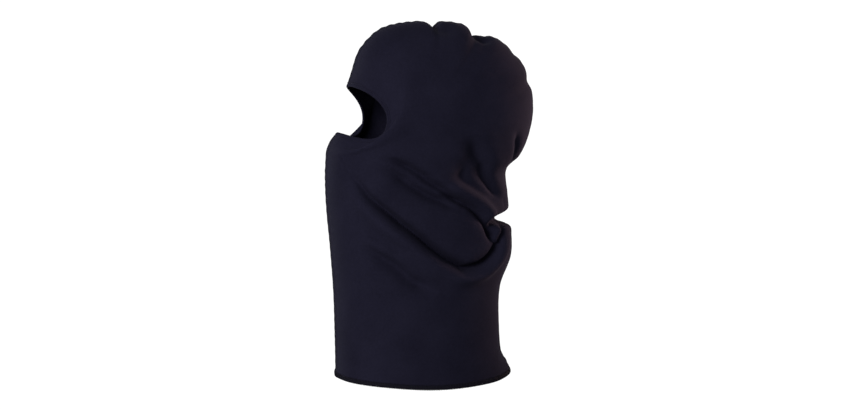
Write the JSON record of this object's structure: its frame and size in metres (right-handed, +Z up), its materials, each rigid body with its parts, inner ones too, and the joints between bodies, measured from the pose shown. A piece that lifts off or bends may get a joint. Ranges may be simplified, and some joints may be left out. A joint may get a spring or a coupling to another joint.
{
  "type": "flame resistant balaclava",
  "caption": "Long knit hood in its worn shape, covering head and neck with one eye opening, with deep folds at the nape and a gathered crown seam.",
  "frame": {"origin": "inside of the crown on the middle plane, where the hood sits on a head", "axes": "+Z up, face looks along -Y, wearer's left is +X"},
  "size_m": [0.1602, 0.2397, 0.4026],
  "materials": {
    "knit": "fine matt knit, navy",
    "binding": "rolled knit edge, navy",
    "thread": "overlock thread, dark navy"
  },
  "bodies": {
    "root": {"left_panel": "knit", "right_panel": "knit", "crown_seam": "thread", "throat_seam": "thread", "face_binding": "binding", "hem_overlock": "thread"}
  },
  "joints": []
}
